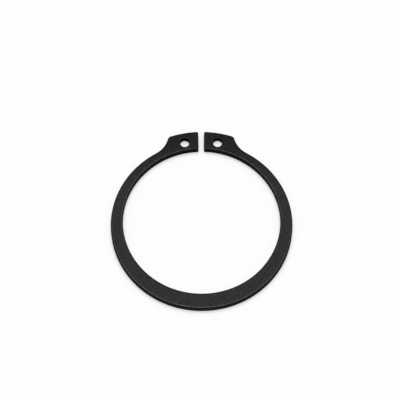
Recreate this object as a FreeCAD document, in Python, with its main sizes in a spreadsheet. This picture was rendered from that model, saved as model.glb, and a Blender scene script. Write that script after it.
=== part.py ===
import FreeCAD, Part
import math
import os
import Sketcher

# External snap ring for a 40 mm shaft, stamped from spring steel strip and shown lying flat.
# The origin is on the bore's axis at the underside, +Z runs up the axis and +Y points at the gap.
# Lengths are in millimetres and angles in degrees.
SIZES = [
    ("bore_diameter", 36.5, "free inner diameter, smaller than the groove that it grips"),
    ("thickness", 1.75, "strip thickness"),
    ("back_width", 3.72, "radial width of the body opposite the gap"),
    ("front_width", 1.86, "radial width that the taper would reach at the gap"),
    ("lug_height", 4.52, "from the bore to the outside of a lug"),
    ("lug_corner_angle", 18.3, "from the centre line to the rounded corner of a lug"),
    ("lug_corner_radius", 1.0, "outer corner of a lug"),
    ("neck_radius", 6.0, "hollow curve from the lug down to the body"),
    ("gap_at_bore", 1.24, "width of the gap between the lugs at the bore"),
    ("gap_at_rim", 1.35, "width of the gap between the lugs at their outside"),
    ("gap_corner_radius", 0.35, "upright corners of the two free ends"),
    ("plier_hole_diameter", 2.2, "holes for the tips of the pliers"),
    ("plier_hole_spacing", 7.7, "between the centres of the two holes"),
    ("plier_hole_inset", 2.1, "from the bore to the centre of a hole"),
    ("die_roll_radius", 0.2, "upper edges and hole rims, drawn in by the punch"),
    ("tumbled_edge", 0.1, "lower edges and hole rims, blunted by tumbling"),
]
NODE = "snap_ring"

# How a sketch numbers a curve's ends and centre, and its own two axes, whose first point is the origin
START, END, CENTRE = range(1, 4)
HORIZONTAL_AXIS, VERTICAL_AXIS = range(-1, -3, -1)
ORIGIN = (HORIZONTAL_AXIS, START)

doc = FreeCAD.newDocument("SnapRing")


def make_sheet():
    """Write each size once, into a sheet cell that carries its name."""
    cells = doc.addObject("Spreadsheet::Sheet", "Sizes")
    for row, (alias, value, note) in enumerate(SIZES, start=1):
        cells.set(f"A{row}", note)
        cells.set(f"B{row}", str(value))
        cells.setAlias(f"B{row}", alias)
    doc.recompute()
    return cells


sheet = make_sheet()


def size(alias):
    return float(sheet.get(alias))


def point(x, y):
    return FreeCAD.Vector(x, y, 0)


def polar(centre, radius, angle):
    return centre + point(radius * math.cos(angle), radius * math.sin(angle))


def direction(start, end):
    return math.atan2(end.y - start.y, end.x - start.x)


def tangent_centre(centre_a, reach_a, centre_b, reach_b):
    """Centre on the right that lies the given distances from two other centres."""
    apart = (centre_b - centre_a).Length
    along = (reach_a**2 - reach_b**2 + apart**2) / (2 * apart)
    turn = math.acos(along / reach_a)
    way = direction(centre_a, centre_b)
    return max((polar(centre_a, reach_a, way + side * turn) for side in (1, -1)), key=lambda p: p.x)


def arc(centre, radius, start, end):
    return Part.ArcOfCircle(Part.Circle(centre, FreeCAD.Vector(0, 0, 1), radius), start, end)


def new_sketch(body, name):
    plane = next(item for item in body.Origin.OriginFeatures if item.Role == "XY_Plane")
    sketch = body.newObject("Sketcher::SketchObject", name)
    sketch.AttachmentSupport = [(plane, "")]
    sketch.MapMode = "FlatFace"
    return sketch


def bind(sketch, name, expression, *constraint):
    """Add a dimension to the sketch and tie it to the sheet."""
    index = sketch.addConstraint(Sketcher.Constraint(*constraint))
    sketch.renameConstraint(index, name)
    sketch.setExpression(f"Constraints.{name}", expression)


def half_profile(body):
    """Right half of the outline, drawn in arcs that run into each other without a corner.

    The bore and the lug's outside are centred on the axis. The body's outside is one circle that
    is moved back from the axis, and so the body tapers evenly from the back to the lugs.
    """
    bore = size("bore_diameter") / 2
    rim = bore + size("lug_height")
    outer = bore + (size("back_width") + size("front_width")) / 2
    shift = (size("back_width") - size("front_width")) / 2
    corner = size("lug_corner_radius")
    neck = size("neck_radius")
    half_gap_at_bore = size("gap_at_bore") / 2
    half_gap_at_rim = size("gap_at_rim") / 2

    axis = point(0, 0)
    outer_centre = point(0, -shift)
    back = -math.pi / 2
    corner_way = math.pi / 2 - math.radians(size("lug_corner_angle"))
    corner_centre = polar(axis, rim - corner, corner_way)
    neck_centre = tangent_centre(corner_centre, corner + neck, outer_centre, outer + neck)
    bore_end = math.acos(half_gap_at_bore / bore)
    rim_end = math.acos(half_gap_at_rim / rim)
    neck_top = direction(neck_centre, corner_centre) + 2 * math.pi
    neck_foot = direction(neck_centre, outer_centre) + 2 * math.pi

    sketch = new_sketch(body, "HalfProfile")
    bore_arc = sketch.addGeometry(arc(axis, bore, back, bore_end))
    end_line = sketch.addGeometry(
        Part.LineSegment(polar(axis, bore, bore_end), polar(axis, rim, rim_end)))
    rim_arc = sketch.addGeometry(arc(axis, rim, corner_way, rim_end))
    corner_arc = sketch.addGeometry(
        arc(corner_centre, corner, direction(corner_centre, neck_centre), corner_way))
    neck_arc = sketch.addGeometry(arc(neck_centre, neck, neck_top, neck_foot))
    outer_arc = sketch.addGeometry(
        arc(outer_centre, outer, back, direction(outer_centre, neck_centre)))
    back_line = sketch.addGeometry(
        Part.LineSegment(point(0, -bore), polar(outer_centre, outer, back)))
    corner_ray = sketch.addGeometry(Part.LineSegment(axis, corner_centre), True)

    joined = [
        ("Coincident", bore_arc, END, end_line, START),
        ("Coincident", end_line, END, rim_arc, END),
        ("Tangent", rim_arc, START, corner_arc, END),
        ("Tangent", corner_arc, START, neck_arc, START),
        ("Tangent", neck_arc, END, outer_arc, END),
        ("Coincident", outer_arc, START, back_line, END),
        ("Coincident", back_line, START, bore_arc, START),
        ("Coincident", bore_arc, CENTRE, *ORIGIN),
        ("Coincident", rim_arc, CENTRE, *ORIGIN),
        ("Coincident", corner_ray, START, *ORIGIN),
        ("Coincident", corner_ray, END, corner_arc, CENTRE),
        ("PointOnObject", outer_arc, CENTRE, VERTICAL_AXIS),
        ("PointOnObject", back_line, START, VERTICAL_AXIS),
        ("PointOnObject", back_line, END, VERTICAL_AXIS),
    ]
    for constraint in joined:
        sketch.addConstraint(Sketcher.Constraint(*constraint))
    bind(sketch, "Bore", "Sizes.bore_diameter / 2", "Radius", bore_arc, bore)
    bind(sketch, "Rim", "Sizes.bore_diameter / 2 + Sizes.lug_height", "Radius", rim_arc, rim)
    bind(sketch, "Outer", "(Sizes.bore_diameter + Sizes.back_width + Sizes.front_width) / 2",
         "Radius", outer_arc, outer)
    bind(sketch, "Shift", "(Sizes.back_width - Sizes.front_width) / 2",
         "DistanceY", outer_arc, CENTRE, *ORIGIN, shift)
    bind(sketch, "Corner", "Sizes.lug_corner_radius", "Radius", corner_arc, corner)
    bind(sketch, "Neck", "Sizes.neck_radius", "Radius", neck_arc, neck)
    bind(sketch, "GapAtBore", "Sizes.gap_at_bore / 2",
         "DistanceX", *ORIGIN, end_line, START, half_gap_at_bore)
    bind(sketch, "GapAtRim", "Sizes.gap_at_rim / 2",
         "DistanceX", *ORIGIN, end_line, END, half_gap_at_rim)
    bind(sketch, "CornerWay", "90 deg - Sizes.lug_corner_angle * 1 deg",
         "Angle", corner_ray, corner_way)
    return sketch


def plier_hole_profile(body):
    """Hole in the right lug, on a circle round the bore's axis."""
    across = size("plier_hole_spacing") / 2
    reach = size("bore_diameter") / 2 + size("plier_hole_inset")
    radius = size("plier_hole_diameter") / 2
    centre = point(across, math.sqrt(reach**2 - across**2))

    sketch = new_sketch(body, "PlierHoleProfile")
    hole = sketch.addGeometry(Part.Circle(centre, FreeCAD.Vector(0, 0, 1), radius))
    ray = sketch.addGeometry(Part.LineSegment(point(0, 0), centre), True)
    sketch.addConstraint(Sketcher.Constraint("Coincident", ray, START, *ORIGIN))
    sketch.addConstraint(Sketcher.Constraint("Coincident", ray, END, hole, CENTRE))
    bind(sketch, "Hole", "Sizes.plier_hole_diameter / 2", "Radius", hole, radius)
    bind(sketch, "Across", "Sizes.plier_hole_spacing / 2",
         "DistanceX", *ORIGIN, hole, CENTRE, across)
    bind(sketch, "Reach", "Sizes.bore_diameter / 2 + Sizes.plier_hole_inset",
         "Distance", ray, reach)
    return sketch


def stamp_half(body):
    """Blank of the right half with its plier hole punched through."""
    blank = body.newObject("PartDesign::Pad", "HalfBlank")
    blank.Profile = half_profile(body)
    blank.setExpression("Length", "Sizes.thickness")
    doc.recompute()
    whole = blank.Shape.Volume

    punched = body.newObject("PartDesign::Pocket", "PlierHole")
    punched.Profile = plier_hole_profile(body)
    punched.Type = "ThroughAll"
    punched.Reversed = True
    doc.recompute()
    cut = math.pi * (size("plier_hole_diameter") / 2)**2 * size("thickness")
    if not math.isclose(whole - punched.Shape.Volume, cut, rel_tol=0.001):
        raise RuntimeError("the plier hole doesn't go through the lug")
    return blank, punched


def mirror_halves(body, halves):
    """Both halves, joined at the back of the ring."""
    ring = body.newObject("PartDesign::Mirrored", "BothHalves")
    ring.Originals = list(halves)
    ring.MirrorPlane = (halves[0].Profile[0], ["V_Axis"])
    ring.Refine = True
    body.Tip = ring
    doc.recompute()
    return ring


def edge_names(feature, wanted):
    return [f"Edge{i}" for i, edge in enumerate(feature.Shape.Edges, start=1) if wanted(edge)]


def dress_edges(body, kind, name, base, wanted, dimension, expression):
    """Round or chamfer the wanted edges of the feature before."""
    dressed = body.newObject(kind, name)
    dressed.Base = (base, edge_names(base, wanted))
    dressed.setExpression(dimension, expression)
    body.Tip = dressed
    doc.recompute()
    return dressed


def is_gap_corner(edge):
    """Upright edges of the two free ends. A hole's seam is upright too, but lies further out."""
    box = edge.BoundBox
    reach = max(size("gap_at_bore"), size("gap_at_rim"))
    return box.ZLength > size("thickness") / 2 and abs(box.Center.x) < reach


def lies_at(edge, height):
    return edge.BoundBox.ZLength < 1e-6 and math.isclose(edge.BoundBox.ZMin, height, abs_tol=1e-6)


def make_snap_ring():
    body = doc.addObject("PartDesign::Body", "SnapRingBody")
    body.Label = NODE
    body.Placement = FreeCAD.Placement()
    ring = mirror_halves(body, stamp_half(body))
    ring = dress_edges(body, "PartDesign::Fillet", "GapCorners", ring, is_gap_corner,
                       "Radius", "Sizes.gap_corner_radius")
    ring = dress_edges(body, "PartDesign::Chamfer", "TumbledEdges", ring,
                       lambda edge: lies_at(edge, 0.0), "Size", "Sizes.tumbled_edge")
    top = size("thickness")
    dress_edges(body, "PartDesign::Fillet", "DieRoll", ring,
                lambda edge: lies_at(edge, top), "Radius", "Sizes.die_roll_radius")
    return body


body = make_snap_ring()
doc.recompute()
for item in doc.Objects:
    if "Invalid" in item.State or "Error" in item.State:
        raise RuntimeError(f"{item.Label} failed: {item.State}")
shape = body.Shape
if shape.isNull() or not shape.isValid() or len(shape.Solids) != 1:
    raise RuntimeError(f"{body.Label} isn't one valid solid")
print(body.Label, "volume", round(shape.Volume, 3), "mm3, box", shape.BoundBox)

os.makedirs("parts", exist_ok=True)
shape.exportStep(os.path.join("parts", f"{body.Label}.step"))
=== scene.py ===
from math import acos, atan2, ceil, cos, pi, radians, sin, sqrt, tau

import bmesh
import bpy
from mathutils import Matrix, Vector


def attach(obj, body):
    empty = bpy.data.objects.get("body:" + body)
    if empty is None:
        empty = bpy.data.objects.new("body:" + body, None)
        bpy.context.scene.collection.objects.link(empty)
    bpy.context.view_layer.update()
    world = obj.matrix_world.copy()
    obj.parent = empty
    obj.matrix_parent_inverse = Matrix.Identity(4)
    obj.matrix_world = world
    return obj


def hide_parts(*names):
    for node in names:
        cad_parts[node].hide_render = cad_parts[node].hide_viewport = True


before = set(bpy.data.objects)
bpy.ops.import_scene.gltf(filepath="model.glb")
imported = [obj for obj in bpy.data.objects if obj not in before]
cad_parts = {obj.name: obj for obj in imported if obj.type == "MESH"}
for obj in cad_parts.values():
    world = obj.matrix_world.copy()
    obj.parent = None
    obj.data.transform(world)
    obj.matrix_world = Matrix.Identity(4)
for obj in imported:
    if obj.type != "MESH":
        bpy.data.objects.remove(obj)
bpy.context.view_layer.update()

# Snap ring of black spring steel, lying on a white table with its gap at the far side.
# Sizes are in millimetres and angles in degrees, and mm turns a size to metres.

mm = 0.001
weld = 0.001  # a size too: points closer than this are one point


def linear(hexColour):
    # sRGB hex to the linear RGBA that the sockets take
    parts = [int(hexColour[i:i + 2], 16) / 255 for i in (1, 3, 5)]
    return (*[p / 12.92 if p <= 0.04045 else ((p + 0.055) / 1.055) ** 2.4 for p in parts], 1.0)


def addNode(tree, kind, settings=None, links=None):
    # a node with its settings; a link's value is a socket, a list of sockets or a plain value
    node = tree.nodes.new(kind)
    for name, value in (settings or {}).items():
        setattr(node, name, value)
    for key, value in (links or {}).items():
        sources = value if isinstance(value, list) else [value]
        if isinstance(sources[0], bpy.types.NodeSocket):
            for source in sources:
                tree.links.new(source, node.inputs[key])
        else:
            node.inputs[key].default_value = value
    return node


# camera

cameraSetup = {
    "sensor": 36.0,
    "lens": 253.69,
    "distance": 657.0,
    "elevation": 65.89,
    "turn": -0.364,  # the ring lies turned by this much in the picture
    "roll": 0.097,
    "aim": (-0.375, 5.950, 0.0),
    "nearest": 10.0,  # that the camera sees
    "furthest": 20000.0,
}


def makeCamera(setup):
    data = bpy.data.cameras.new("camera")
    data.sensor_width = setup["sensor"]
    data.lens = setup["lens"]
    data.clip_start = setup["nearest"] * mm
    data.clip_end = setup["furthest"] * mm
    camera = bpy.data.objects.new("camera", data)
    bpy.context.scene.collection.objects.link(camera)
    turn = Matrix.Rotation(radians(setup["turn"]), 4, "Z")
    tilt = Matrix.Rotation(radians(90 - setup["elevation"]), 4, "X")
    roll = Matrix.Rotation(radians(setup["roll"]), 4, "Z")
    back = Matrix.Translation((0, 0, setup["distance"] * mm))
    aim = turn @ Matrix.Translation(Vector(setup["aim"]) * mm)
    camera.matrix_world = aim @ tilt @ back @ roll
    bpy.context.scene.camera = camera


makeCamera(cameraSetup)
print("camera set")

# finish

finish = {
    "face": "#262626",  # phosphate under oil
    "rubbed": "#212121",  # crest of the rounded edge: smooth, so it mirrors the lamp and little else
    "roll": "#121212",  # painted shade: below the crest the rounded edge is made darker, so that it reads as a dark rim
    "land": "#303030",  # upper, smooth part of a sheared wall
    "torn": "#262626",  # lower, broken part
    "faceTint": 0.7,  # of light that comes in at a slant, which the crystals trap
    "wallTint": 0.4,
    "faceRoughness": 0.65,
    "crestRoughness": 0.20,
    "landRoughness": 0.38,
    "tornRoughness": 0.62,
    "unevenRoughness": 0.04,
    "noiseDetail": 3.0,
    "crystal": 0.28,  # real crystals are 0.02 mm, which the picture can't show
    "crystalRange": (0.85, 0.2),  # where the pattern is darkest and lightest: a crystal's middle is light
    "crystalContrast": 0.31,
    "crystalBump": 0.4,
    "crystalDepth": 0.008,
    "mottle": 2.2,
    "mottleRange": (0.25, 0.75),
    "mottleContrast": 0.03,
    "wear": 0.9,
    "wearRange": (0.3, 0.7),
    "wearContrast": 0.35,
    "drag": 0.14,  # scratches that the punch drew down the wall
    "dragStretch": 0.12,  # of that scale, so that they are long from top to bottom
    "dragDetail": 2.0,
    "dragRange": (0.3, 0.7),
    "dragContrast": 0.4,
    "dragBump": 0.8,
    "dragDepth": 0.02,
    "ragged": 0.6,
    "raggedReach": 0.22,  # how far the line between land and torn metal wanders up and down
    "crestTilts": (3.0, 6.0, 14.0, 24.0),  # where the crest starts, is full, wanes and ends
    "wallTilts": (62.0, 84.0),
    "tornHeights": (0.95, 0.78),
    "paintedLugShade": 0.58,  # painted shade: the face is made darker towards the lugs
    "lugHeights": (7.0, 22.5),  # along Y
}


def makeSpringSteel(look):
    # Phosphated spring steel: a fine crystal coat soaked in oil, dull black with a faint even grain.
    material = bpy.data.materials.new("phosphatedSpringSteel")
    material.use_nodes = True
    tree = material.node_tree
    tree.nodes.clear()
    where = addNode(tree, "ShaderNodeTexCoord").outputs
    place = where["Object"]
    spot = addNode(tree, "ShaderNodeSeparateXYZ", None, {0: place}).outputs
    facing = addNode(tree, "ShaderNodeSeparateXYZ", None, {0: where["Normal"]}).outputs

    # how far the surface tilts from level, in degrees
    tilt = facing["Z"]
    for operation in ("ABSOLUTE", "ARCCOSINE", "DEGREES"):
        tilt = addNode(tree, "ShaderNodeMath", {"operation": operation}, {0: tilt}).outputs[0]

    # patterns
    pattern = {}
    for name in ("mottle", "wear", "ragged"):
        pattern[name] = addNode(tree, "ShaderNodeTexNoise", None, {
            "Vector": place, "Scale": 1 / (look[name] * mm),
            "Detail": look["noiseDetail"]}).outputs["Fac"]
    upright = addNode(tree, "ShaderNodeMapping", None, {
        "Vector": place, "Scale": (1.0, 1.0, look["dragStretch"])})
    pattern["drag"] = addNode(tree, "ShaderNodeTexNoise", None, {
        "Vector": upright.outputs[0], "Scale": 1 / (look["drag"] * mm),
        "Detail": look["dragDetail"]}).outputs["Fac"]
    pattern["crystal"] = addNode(tree, "ShaderNodeTexVoronoi", {"feature": "F1"}, {
        "Vector": place, "Scale": 1 / (look["crystal"] * mm)}).outputs["Distance"]

    # masks
    wander = addNode(tree, "ShaderNodeMapRange", None, {
        "Value": pattern["ragged"],
        "To Min": -look["raggedReach"] * mm, "To Max": look["raggedReach"] * mm})
    height = addNode(tree, "ShaderNodeMath", {"operation": "ADD"}, {0: spot["Z"], 1: wander.outputs[0]})
    mask = {}
    for name, source, start, end in (
        ("crest", tilt, look["crestTilts"][0], look["crestTilts"][1]),
        # the band of the rounded edge past the crest, which takes the roll's painted shade
        ("paintedRimShade", tilt, look["crestTilts"][2], look["crestTilts"][3]),
        ("wall", tilt, *look["wallTilts"]),
        ("torn", height.outputs[0], *[z * mm for z in look["tornHeights"]]),
        ("lug", spot["Y"], *[y * mm for y in look["lugHeights"]]),
    ):
        mask[name] = addNode(tree, "ShaderNodeMapRange", {"interpolation_type": "SMOOTHSTEP"}, {
            "Value": source, "From Min": start, "From Max": end}).outputs[0]

    # light and dark of each pattern, as a factor about 1
    shade = {}
    for name in ("crystal", "mottle", "wear", "drag"):
        darkest, lightest = look[name + "Range"]
        contrast = look[name + "Contrast"]
        shade[name] = addNode(tree, "ShaderNodeMapRange", None, {
            "Value": pattern[name], "From Min": darkest, "From Max": lightest,
            "To Min": 1 - contrast, "To Max": 1 + contrast}).outputs[0]
    # painted shade: 1 on the near part of the ring, darker towards the lugs
    lugShade = addNode(tree, "ShaderNodeMapRange", None, {
        "Value": mask["lug"], "To Min": 1.0, "To Max": look["paintedLugShade"]}).outputs[0]

    # colour: face, crest, roll and wall in turn, each over the last; the roll's dark colour is painted
    # shade
    colour = linear(look["face"])
    walls = addNode(tree, "ShaderNodeMix", {"data_type": "RGBA"}, {
        "Factor": mask["torn"], 6: linear(look["land"]), 7: linear(look["torn"])}).outputs[2]
    for name, over in (
        ("crest", linear(look["rubbed"])), ("paintedRimShade", linear(look["roll"])), ("wall", walls),
    ):
        colour = addNode(tree, "ShaderNodeMix", {"data_type": "RGBA"}, {
            "Factor": mask[name], 6: colour, 7: over}).outputs[2]
    grainAndShade = shade["crystal"]
    for name, over in (("crest", shade["wear"]), ("wall", shade["drag"])):
        grainAndShade = addNode(tree, "ShaderNodeMix", {"data_type": "FLOAT"}, {
            "Factor": mask[name], 2: grainAndShade, 3: over}).outputs[0]
    # the mottle, and the painted shade towards the lugs
    for factor in (shade["mottle"], lugShade):
        grainAndShade = addNode(tree, "ShaderNodeMath", {"operation": "MULTIPLY"}, {
            0: grainAndShade, 1: factor}).outputs[0]
    shaded = addNode(tree, "ShaderNodeVectorMath", {"operation": "SCALE"}, {0: colour, "Scale": grainAndShade})

    # roughness, a little uneven from crystal to crystal
    rough = look["faceRoughness"]
    wallRough = addNode(tree, "ShaderNodeMix", {"data_type": "FLOAT"}, {
        "Factor": mask["torn"], 2: look["landRoughness"], 3: look["tornRoughness"]}).outputs[0]
    for name, over in (("crest", look["crestRoughness"]), ("wall", wallRough)):
        rough = addNode(tree, "ShaderNodeMix", {"data_type": "FLOAT"}, {
            "Factor": mask[name], 2: rough, 3: over}).outputs[0]
    uneven = addNode(tree, "ShaderNodeMapRange", None, {
        "Value": pattern["crystal"],
        "To Min": -look["unevenRoughness"], "To Max": look["unevenRoughness"]})
    roughness = addNode(tree, "ShaderNodeMath", {"operation": "ADD"}, {0: rough, 1: uneven.outputs[0]})

    # relief: crystals everywhere, highest in their middles, and drag lines on the walls
    crystals = addNode(tree, "ShaderNodeBump", {"invert": True}, {
        "Height": pattern["crystal"], "Strength": look["crystalBump"],
        "Distance": look["crystalDepth"] * mm})
    onWall = addNode(tree, "ShaderNodeMath", {"operation": "MULTIPLY"}, {
        0: mask["wall"], 1: look["dragBump"]})
    dragged = addNode(tree, "ShaderNodeBump", None, {
        "Height": pattern["drag"], "Strength": onWall.outputs[0],
        "Distance": look["dragDepth"] * mm, "Normal": crystals.outputs[0]})

    faceTint, wallTint = [(t, t, t, 1.0) for t in (look["faceTint"], look["wallTint"])]
    tint = addNode(tree, "ShaderNodeMix", {"data_type": "RGBA"}, {
        "Factor": mask["wall"], 6: faceTint, 7: wallTint})
    steel = addNode(tree, "ShaderNodeBsdfPrincipled", None, {
        "Base Color": shaded.outputs[0], "Metallic": 1.0, "Roughness": roughness.outputs[0],
        "Specular Tint": tint.outputs[2], "Normal": dragged.outputs[0]})
    addNode(tree, "ShaderNodeOutputMaterial", None, {"Surface": steel.outputs[0]})
    return material


springSteel = makeSpringSteel(finish)
print("finish made")

# ring

ring = {
    "bore": 36.5,
    "thickness": 1.75,
    "backWidth": 3.72,
    "frontWidth": 1.86,  # that the taper would reach at the gap
    "lugHeight": 4.52,
    "lugCornerAngle": 18.3,
    "lugCorner": 1.0,
    "neck": 6.0,
    "gapAtBore": 1.24,
    "gapAtRim": 1.35,
    "gapCorner": 0.35,
    "hole": 2.2,
    "holeSpacing": 7.7,
    "holeInset": 2.1,
    "rollWidth": 0.44,  # the punch draws the upper edge in, wider than deep
    "rollDepth": 0.17,
    "holeRollWidth": 0.24,
    "holeRollDepth": 0.20,
    "tumbledEdge": 0.1,
    "landFoot": 0.55,  # of the thickness, from the underside
    "breakHead": 0.45,
    "breakDepth": 0.02,  # how far the lower, torn part of a sheared wall stands back
    "lip": 0.05,  # of level metal beside each rounded edge
    "narrowing": 0.4,  # share that the roll loses at the gap's tight corners
    "narrowReach": 1.2,  # from a corner to where the roll is full again
    "roundSteps": 8,
    "holeSteps": 72,
    "longestStep": 0.35,
    "widestStep": 7.5,
}

# inputs of the node trees below
wallSizes = ("Thickness", "Roll Width", "Roll Depth", "Tumbled Edge", "Land Foot", "Break Head",
             "Break Depth", "Lip")
holeSizes = ("Hole Radius", "Hole Roll Width", "Hole Roll Depth", "Hole Across", "Hole Up")


def polar(centre, radius, angle):
    return Vector((centre[0] + radius * cos(angle), centre[1] + radius * sin(angle)))


def way(start, end):
    # the direction from one point to another
    return atan2(end[1] - start[1], end[0] - start[0])


def arcRun(centre, radius, start, end, left=True):
    # an arc that turns left or right, as its centre, radius and two angles
    sweep = (end - start) % tau if left else -((start - end) % tau)
    return centre, radius, start, start + sweep


def halfRuns(s):
    # arcs of the right half, from the back round the lug to the bore, with the metal on the left
    bore = s["bore"] / 2
    rim = bore + s["lugHeight"]
    outer = bore + (s["backWidth"] + s["frontWidth"]) / 2
    axis = Vector((0, 0))
    outerCentre = Vector((0, -(s["backWidth"] - s["frontWidth"]) / 2))
    cornerWay = radians(90 - s["lugCornerAngle"])
    cornerCentre = polar(axis, rim - s["lugCorner"], cornerWay)

    # the neck touches the lug's corner and the outer circle
    cornerReach = s["lugCorner"] + s["neck"]
    outerReach = outer + s["neck"]
    apart = (outerCentre - cornerCentre).length
    turn = acos((cornerReach ** 2 - outerReach ** 2 + apart ** 2) / (2 * apart) / cornerReach)
    toOuter = way(cornerCentre, outerCentre)
    neckCentre = max((polar(cornerCentre, cornerReach, toOuter + side * turn) for side in (1, -1)),
                     key=lambda p: p.x)

    # the free end is a straight line, and its two corners are arcs that touch it and the circles
    atBore = Vector((s["gapAtBore"] / 2, sqrt(bore ** 2 - (s["gapAtBore"] / 2) ** 2)))
    atRim = Vector((s["gapAtRim"] / 2, sqrt(rim ** 2 - (s["gapAtRim"] / 2) ** 2)))
    along = (atRim - atBore).normalized()
    inward = Vector((along.y, -along.x))
    corners = []
    for radius in (rim - s["gapCorner"], bore + s["gapCorner"]):
        foot = atBore + inward * s["gapCorner"]
        ahead = foot.dot(along)
        corners.append(foot + along * (-ahead + sqrt(ahead ** 2 - foot.length_squared + radius ** 2)))
    rimCorner, boreCorner = corners
    toEnd = way(inward, axis)
    return [
        arcRun(outerCentre, outer, -pi / 2, way(outerCentre, neckCentre)),
        arcRun(neckCentre, s["neck"], way(neckCentre, outerCentre), way(neckCentre, cornerCentre),
               left=False),
        arcRun(cornerCentre, s["lugCorner"], way(cornerCentre, neckCentre), cornerWay),
        arcRun(axis, rim, cornerWay, way(axis, rimCorner)),
        arcRun(rimCorner, s["gapCorner"], way(axis, rimCorner), toEnd),
        arcRun(boreCorner, s["gapCorner"], toEnd, way(boreCorner, axis)),
        arcRun(axis, bore, way(axis, boreCorner), -pi / 2, left=False),
    ]


def outlinePoints(s):
    # points round the whole outline in metres, each arc cut into even steps,
    # and for each point how much narrower the roll is there
    right = halfRuns(s)
    runs = right + [((-c[0], c[1]), r, pi - end, pi - start) for c, r, start, end in reversed(right)]
    tight = [Vector(centre) for centre, radius, start, end in runs if radius == s["gapCorner"]]
    points = []
    for centre, radius, start, end in runs:
        sweep = end - start
        steps = max(ceil(abs(sweep) / radians(s["widestStep"])),
                    ceil(abs(sweep) * radius / s["longestStep"]), 2)
        for i in range(steps + 1):
            points.append(polar(centre, radius, start + sweep * i / steps))
    kept = [p for i, p in enumerate(points) if (p - points[i - 1]).length > weld]
    narrow = []
    for p in kept:
        away = min((p - centre).length for centre in tight) - s["gapCorner"]
        near = min(max(1 - away / s["narrowReach"], 0.0), 1.0)
        narrow.append(s["narrowing"] * near ** 2 * (3 - 2 * near))  # eased at both ends
    return [(p.x * mm, p.y * mm, 0.0) for p in kept], narrow


def addSockets(tree, direction, kinds):
    # a tree's inputs or outputs, by name
    for name, kind in kinds.items():
        tree.interface.new_socket(name, in_out=direction, socket_type="NodeSocket" + kind)


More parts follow.
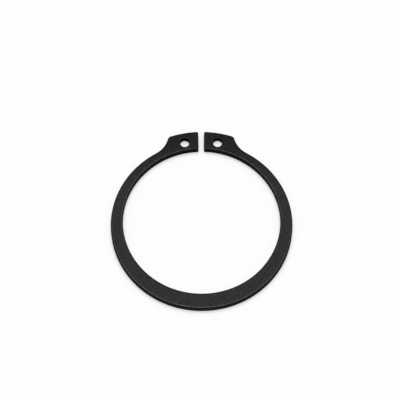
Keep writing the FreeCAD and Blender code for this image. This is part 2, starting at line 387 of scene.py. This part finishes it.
def wallTree():
    # The stamped wall: one profile of roll, land, break and blunt lower edge, swept along a path.
    # The profile's X is outwards and its Y is downwards, with its zero at the underside.
    # Where the path says narrow, the roll draws back towards the wall.
    tree = bpy.data.node_groups.new("stampedWall", "GeometryNodeTree")
    addSockets(tree, "INPUT", {
        "Path": "Geometry", **dict.fromkeys(wallSizes, "Float"), "Round Steps": "Int"})
    addSockets(tree, "OUTPUT", {"Wall": "Geometry"})

    # the places across and down that the profile turns at
    value = {socket.name: socket for socket in addNode(tree, "NodeGroupInput").outputs if socket.name}
    for name, operation, a, b in (
        ("points", "ADD", "Round Steps", 1.0),
        ("head", "MULTIPLY", "Thickness", -1.0),
        ("rollIn", "MULTIPLY", "Roll Width", -1.0),
        ("rollFoot", "ADD", "head", "Roll Depth"),
        ("landFoot", "MULTIPLY", "head", "Land Foot"),
        ("breakHead", "MULTIPLY", "head", "Break Head"),
        ("breakIn", "MULTIPLY", "Break Depth", -1.0),
        ("bluntHead", "MULTIPLY", "Tumbled Edge", -1.0),
        ("bluntIn", "SUBTRACT", "breakIn", "Tumbled Edge"),
        ("upperLip", "SUBTRACT", "rollIn", "Lip"),
        ("lowerLip", "SUBTRACT", "bluntIn", "Lip"),
    ):
        value[name] = addNode(tree, "ShaderNodeMath", {"operation": operation}, {
            0: value[a], 1: value.get(b, b)}).outputs[0]
    corner = {}
    for name, x, y in (
        ("upperLip", "upperLip", "head"),
        ("rollHead", "rollIn", "head"),
        ("rollCentre", "rollIn", "rollFoot"),
        ("rollFoot", 0.0, "rollFoot"),
        ("landFoot", 0.0, "landFoot"),
        ("breakHead", "breakIn", "breakHead"),
        ("bluntHead", "breakIn", "bluntHead"),
        ("bluntCentre", "bluntIn", "bluntHead"),
        ("bluntFoot", "bluntIn", 0.0),
        ("lowerLip", "lowerLip", 0.0),
        ("rollSize", "Roll Width", "Roll Depth"),
        ("bluntSize", "Tumbled Edge", "Tumbled Edge"),
    ):
        corner[name] = addNode(tree, "ShaderNodeCombineXYZ", None, {
            "X": value.get(x, x), "Y": value.get(y, y)}).outputs[0]

    # two quarter arcs, stretched to size, and the straight lines between them
    pieces = []
    for centre, size, start in (("rollCentre", "rollSize", -90), ("bluntCentre", "bluntSize", 0)):
        arc = addNode(tree, "GeometryNodeCurveArc", None, {
            "Resolution": value["points"], "Radius": 1.0,
            "Start Angle": radians(start), "Sweep Angle": radians(90)})
        placed = addNode(tree, "GeometryNodeTransform", None, {
            "Geometry": arc.outputs["Curve"], "Translation": corner[centre], "Scale": corner[size]})
        pieces.append(placed.outputs[0])
    for start, end, points in (
        ("upperLip", "rollHead", 2), ("rollFoot", "landFoot", 4), ("landFoot", "breakHead", 2),
        ("breakHead", "bluntHead", 4), ("bluntFoot", "lowerLip", 2),
    ):
        line = addNode(tree, "GeometryNodeCurvePrimitiveLine", None, {
            "Start": corner[start], "End": corner[end]})
        cut = addNode(tree, "GeometryNodeResampleCurve", None, {
            "Curve": line.outputs[0], "Count": points})
        pieces.append(cut.outputs[0])
    profile = addNode(tree, "GeometryNodeJoinGeometry", None, {0: pieces})

    # swept along the path, and each point drawn back to its place on the path where that says narrow
    level = addNode(tree, "GeometryNodeSetCurveNormal", {"mode": "Z_UP"}, {0: value["Path"]})
    position = addNode(tree, "GeometryNodeInputPosition").outputs[0]
    marked = addNode(tree, "GeometryNodeStoreNamedAttribute", {"data_type": "FLOAT_VECTOR"}, {
        "Geometry": level.outputs[0], "Name": "wallLine", "Value": position})
    swept = addNode(tree, "GeometryNodeCurveToMesh", None, {
        "Curve": marked.outputs[0], "Profile Curve": profile.outputs[0], "Fill Caps": False})
    wallLine = addNode(tree, "GeometryNodeInputNamedAttribute", {"data_type": "FLOAT_VECTOR"}, {
        "Name": "wallLine"})
    narrow = addNode(tree, "GeometryNodeInputNamedAttribute", {"data_type": "FLOAT"}, {"Name": "narrow"})
    back = addNode(tree, "ShaderNodeVectorMath", {"operation": "SUBTRACT"}, {
        0: wallLine.outputs[0], 1: position})
    levelBack = addNode(tree, "ShaderNodeVectorMath", {"operation": "MULTIPLY"}, {
        0: back.outputs[0], 1: (1.0, 1.0, 0.0)})
    drawn = addNode(tree, "ShaderNodeVectorMath", {"operation": "SCALE"}, {
        0: levelBack.outputs[0], "Scale": narrow.outputs[0]})
    moved = addNode(tree, "GeometryNodeSetPosition", None, {
        "Geometry": swept.outputs[0], "Offset": drawn.outputs[0]})
    for name in ("wallLine", "narrow"):
        moved = addNode(tree, "GeometryNodeRemoveAttribute", None, {
            "Geometry": moved.outputs[0], "Name": name})
    welded = addNode(tree, "GeometryNodeMergeByDistance", None, {
        "Geometry": moved.outputs[0], "Distance": weld * mm})
    addNode(tree, "NodeGroupOutput", None, {0: welded.outputs[0]})
    return tree


def ringTree(wall):
    # The whole ring: a wall round the outline, a wall in each plier hole, and the two faces between them
    tree = bpy.data.node_groups.new("snapRing", "GeometryNodeTree")
    addSockets(tree, "INPUT", {
        "Outline": "Geometry", **dict.fromkeys(wallSizes + holeSizes, "Float"),
        "Round Steps": "Int", "Hole Steps": "Int", "Finish": "Material"})
    addSockets(tree, "OUTPUT", {"Ring": "Geometry"})
    given = addNode(tree, "NodeGroupInput").outputs

    path = addNode(tree, "GeometryNodeMeshToCurve", None, {0: given["Outline"]})
    circle = addNode(tree, "GeometryNodeCurvePrimitiveCircle", None, {
        "Resolution": given["Hole Steps"], "Radius": given["Hole Radius"]})
    clockwise = addNode(tree, "GeometryNodeReverseCurve", None, {0: circle.outputs[0]})
    holes = []
    for side in (1.0, -1.0):
        across = addNode(tree, "ShaderNodeMath", {"operation": "MULTIPLY"}, {
            0: given["Hole Across"], 1: side})
        centre = addNode(tree, "ShaderNodeCombineXYZ", None, {
            "X": across.outputs[0], "Y": given["Hole Up"]})
        placed = addNode(tree, "GeometryNodeTransform", None, {
            "Geometry": clockwise.outputs[0], "Translation": centre.outputs[0]})
        holes.append(placed.outputs[0])
    holePaths = addNode(tree, "GeometryNodeJoinGeometry", None, {0: holes})
    swept = []
    for line, width, depth in ((path, "Roll Width", "Roll Depth"),
                               (holePaths, "Hole Roll Width", "Hole Roll Depth")):
        links = {name: given[name] for name in (*wallSizes, "Round Steps")}
        links.update({"Path": line.outputs[0], "Roll Width": given[width], "Roll Depth": given[depth]})
        swept.append(addNode(tree, "GeometryNodeGroup", {"node_tree": wall}, links).outputs[0])
    walls = addNode(tree, "GeometryNodeJoinGeometry", None, {0: swept})

    # edges with one face only, above the middle or below it, are the rims of the upper or lower face
    position = addNode(tree, "GeometryNodeInputPosition")
    parts = addNode(tree, "ShaderNodeSeparateXYZ", None, {0: position.outputs[0]})
    middle = addNode(tree, "ShaderNodeMath", {"operation": "MULTIPLY"}, {0: given["Thickness"], 1: 0.5})
    neighbours = addNode(tree, "GeometryNodeInputMeshEdgeNeighbors")
    isOpen = addNode(tree, "FunctionNodeCompare", {"data_type": "INT", "operation": "EQUAL"}, {
        2: neighbours.outputs[0], 3: 1})
    faces = []
    for operation, height in (("GREATER_THAN", given["Thickness"]), ("LESS_THAN", 0.0)):
        level = addNode(tree, "FunctionNodeCompare", {"data_type": "FLOAT", "operation": operation}, {
            0: parts.outputs["Z"], 1: middle.outputs[0]})
        chosen = addNode(tree, "FunctionNodeBooleanMath", {"operation": "AND"}, {
            0: isOpen.outputs[0], 1: level.outputs[0]})
        rims = addNode(tree, "GeometryNodeMeshToCurve", None, {
            "Mesh": walls.outputs[0], "Selection": chosen.outputs[0]})
        filled = addNode(tree, "GeometryNodeFillCurve", None, {"Curve": rims.outputs[0]})
        raised = addNode(tree, "ShaderNodeCombineXYZ", None, {
            "X": parts.outputs["X"], "Y": parts.outputs["Y"], "Z": height})
        placed = addNode(tree, "GeometryNodeSetPosition", None, {
            "Geometry": filled.outputs[0], "Position": raised.outputs[0]})
        faces.append(placed.outputs[0])
    whole = addNode(tree, "GeometryNodeJoinGeometry", None, {0: [walls.outputs[0], *faces]})
    welded = addNode(tree, "GeometryNodeMergeByDistance", None, {
        "Geometry": whole.outputs[0], "Distance": weld * mm})
    smooth = addNode(tree, "GeometryNodeSetShadeSmooth", None, {0: welded.outputs[0]})
    real = addNode(tree, "GeometryNodeRealizeInstances", None, {0: smooth.outputs[0]})
    dressed = addNode(tree, "GeometryNodeSetMaterial", None, {
        "Geometry": real.outputs[0], "Material": given["Finish"]})
    addNode(tree, "NodeGroupOutput", None, {0: dressed.outputs[0]})
    return tree


def setInputs(modifier, values):
    # a modifier's input goes by the socket's identifier
    for item in modifier.node_group.interface.items_tree:
        if item.item_type == "SOCKET" and item.in_out == "INPUT" and item.name in values:
            modifier[item.identifier] = values[item.name]


def makeRing(s, material):
    points, narrow = outlinePoints(s)
    path = bpy.data.meshes.new("ringOutline")
    path.from_pydata(points, [(i, (i + 1) % len(points)) for i in range(len(points))], [])
    path.attributes.new("narrow", "FLOAT", "POINT").data.foreach_set("value", narrow)
    drawn = bpy.data.objects.new("ringOutline", path)
    bpy.context.scene.collection.objects.link(drawn)
    modifier = drawn.modifiers.new("snapRing", "NODES")
    modifier.node_group = ringTree(wallTree())
    across = s["holeSpacing"] / 2
    setInputs(modifier, {
        "Thickness": s["thickness"] * mm,
        "Roll Width": s["rollWidth"] * mm,
        "Roll Depth": s["rollDepth"] * mm,
        "Tumbled Edge": s["tumbledEdge"] * mm,
        "Land Foot": s["landFoot"],
        "Break Head": s["breakHead"],
        "Break Depth": s["breakDepth"] * mm,
        "Lip": s["lip"] * mm,
        "Hole Radius": s["hole"] / 2 * mm,
        "Hole Roll Width": s["holeRollWidth"] * mm,
        "Hole Roll Depth": s["holeRollDepth"] * mm,
        "Hole Across": across * mm,
        "Hole Up": sqrt((s["bore"] / 2 + s["holeInset"]) ** 2 - across ** 2) * mm,
        "Round Steps": s["roundSteps"],
        "Hole Steps": s["holeSteps"],
        "Finish": material,
    })
    graph = bpy.context.evaluated_depsgraph_get()
    mesh = bpy.data.meshes.new_from_object(drawn.evaluated_get(graph))
    bpy.data.objects.remove(drawn)
    mesh.materials.clear()  # an empty slot comes first
    mesh.materials.append(material)

    shape = bmesh.new()
    shape.from_mesh(mesh)
    bmesh.ops.remove_doubles(shape, verts=shape.verts, dist=weld * mm)
    bmesh.ops.recalc_face_normals(shape, faces=shape.faces)
    print("ring:", len(shape.verts), "points,", len(shape.faces), "faces,",
          sum(not edge.is_manifold for edge in shape.edges), "open edges, volume",
          round(shape.calc_volume(signed=True) / mm ** 3, 3), "mm3")
    shape.to_mesh(mesh)
    shape.free()
    mesh.name = "snapRingBody"
    for polygon in mesh.polygons:
        polygon.use_smooth = True
    piece = bpy.data.objects.new("snapRingBody", mesh)
    bpy.context.scene.collection.objects.link(piece)
    return piece


snapRing = makeRing(ring, springSteel)
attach(snapRing, "root")
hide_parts("snap_ring")
print("ring made")

# table and light

studio = {
    "tableSize": 6000.0,
    "tableDrop": 0.01,  # below the ring, so that the two don't share a plane
    "table": "#fcfcfc",
    "white": 1.05,  # just over full white, which makes up for the card's own grey
    "whiteShare": 0.38,  # of what the camera sees; the rest is lit, and so it takes the shadow
    "sky": "#ffffff",
    "ambient": 0.25,  # of that white, as light on the ring
    "lamp": 0.75,  # of the light that a level surface gets
    "lampTilt": 8.0,  # towards the far side
    "lampWidth": 44.0,
}


def sightRays(tree):
    # 1 for rays that show the background: straight to the camera, in gloss or through glass
    path = addNode(tree, "ShaderNodeLightPath").outputs
    seen = path["Is Camera Ray"]
    for ray in ("Is Glossy Ray", "Is Transmission Ray"):
        seen = addNode(tree, "ShaderNodeMath", {"operation": "MAXIMUM"}, {
            0: seen, 1: path[ray]}).outputs[0]
    return seen


def makeTable(s):
    # White card, lit and shadowed like paper, and lifted to a clean white where the camera sees it
    material = bpy.data.materials.new("whiteCard")
    material.use_nodes = True
    tree = material.node_tree
    tree.nodes.clear()
    card = addNode(tree, "ShaderNodeBsdfDiffuse", None, {"Color": linear(s["table"])})
    white = addNode(tree, "ShaderNodeEmission", None, {"Strength": s["white"]})
    share = addNode(tree, "ShaderNodeMath", {"operation": "MULTIPLY"}, {
        0: sightRays(tree), 1: s["whiteShare"]})
    both = addNode(tree, "ShaderNodeMixShader", None, {
        0: share.outputs[0], 1: card.outputs[0], 2: white.outputs[0]})
    addNode(tree, "ShaderNodeOutputMaterial", None, {"Surface": both.outputs[0]})
    half = s["tableSize"] / 2 * mm
    low = -s["tableDrop"] * mm
    corners = [(x * half, y * half, low) for x, y in ((-1, -1), (1, -1), (1, 1), (-1, 1))]
    mesh = bpy.data.meshes.new("table")
    mesh.from_pydata(corners, [], [(0, 1, 2, 3)])
    mesh.materials.append(material)
    table = bpy.data.objects.new("table", mesh)
    bpy.context.scene.collection.objects.link(table)
    return table


def makeLight(s):
    world = bpy.data.worlds.new("studio")
    bpy.context.scene.world = world
    world.use_nodes = True
    tree = world.node_tree
    tree.nodes.clear()
    level = addNode(tree, "ShaderNodeMapRange", None, {
        "Value": sightRays(tree), "To Min": s["ambient"], "To Max": 1.0})
    sky = addNode(tree, "ShaderNodeBackground", None, {
        "Color": linear(s["sky"]), "Strength": level.outputs[0]})
    addNode(tree, "ShaderNodeOutputWorld", None, {"Surface": sky.outputs[0]})

    data = bpy.data.lights.new("overheadSoftbox", "SUN")
    data.energy = s["lamp"] * pi
    data.angle = radians(s["lampWidth"])
    lamp = bpy.data.objects.new("overheadSoftbox", data)
    lamp.rotation_euler = (radians(-s["lampTilt"]), 0, 0)
    bpy.context.scene.collection.objects.link(lamp)


table = makeTable(studio)
makeLight(studio)
bpy.context.scene.view_settings.view_transform = "Standard"
print("table and light made")
